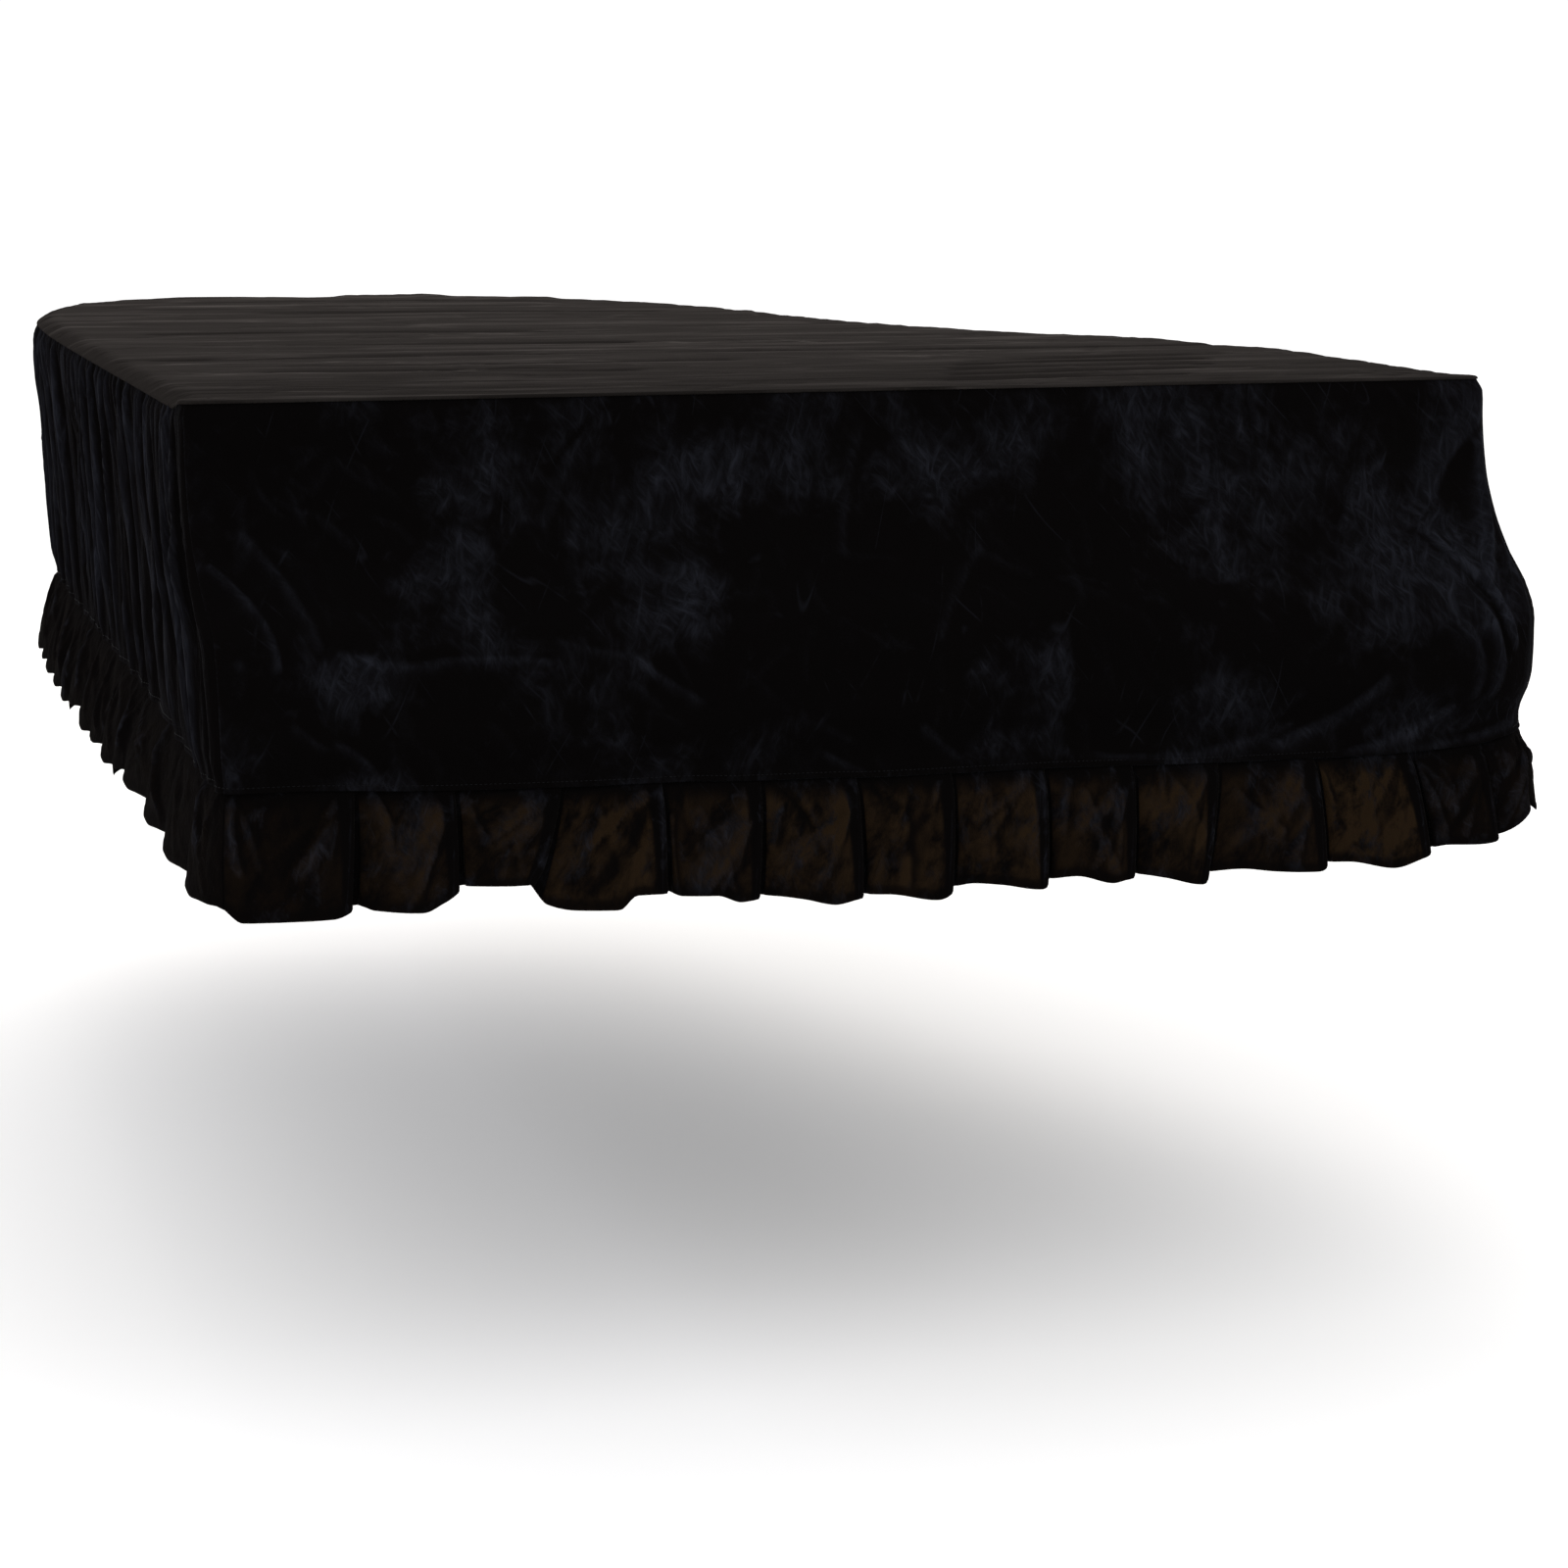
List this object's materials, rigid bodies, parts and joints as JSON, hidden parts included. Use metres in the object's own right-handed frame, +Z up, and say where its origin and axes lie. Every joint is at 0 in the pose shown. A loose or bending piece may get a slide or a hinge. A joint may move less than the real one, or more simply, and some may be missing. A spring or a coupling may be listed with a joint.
{
  "type": "grand piano cover",
  "caption": "Fitted crushed-velvet cover for a grand piano: lid-shaped top, smooth front drop, gathered skirt round the sides and a knife-pleated ruffle at the hem",
  "frame": {"origin": "on the underside of the top panel, on the line that halves the front edge, 0.75 m behind the front edge: where the piano's lid holds the cover up", "axes": "+X along the front edge (the keyboard side) to its right end, +Y from the front edge to the tail end, +Z up"},
  "size_m": [1.555, 2.0987, 0.5295],
  "materials": {
    "top_velvet": "black velvet, its pile brushed along the width",
    "front_velvet": "black crushed velvet, blue-grey where the pile leans",
    "skirt_velvet": "black crushed velvet in fine gathers",
    "ruffle_velvet": "black crushed velvet, pressed into pleats"
  },
  "bodies": {
    "root": {"top_panel": "top_velvet", "front_panel": "front_velvet", "left_skirt": "skirt_velvet", "tail_skirt": "skirt_velvet", "bentside_skirt": "skirt_velvet", "right_skirt": "skirt_velvet", "front_ruffle": "ruffle_velvet", "left_ruffle": "ruffle_velvet", "tail_ruffle": "ruffle_velvet", "bentside_ruffle": "ruffle_velvet", "right_ruffle": "ruffle_velvet"}
  },
  "joints": []
}
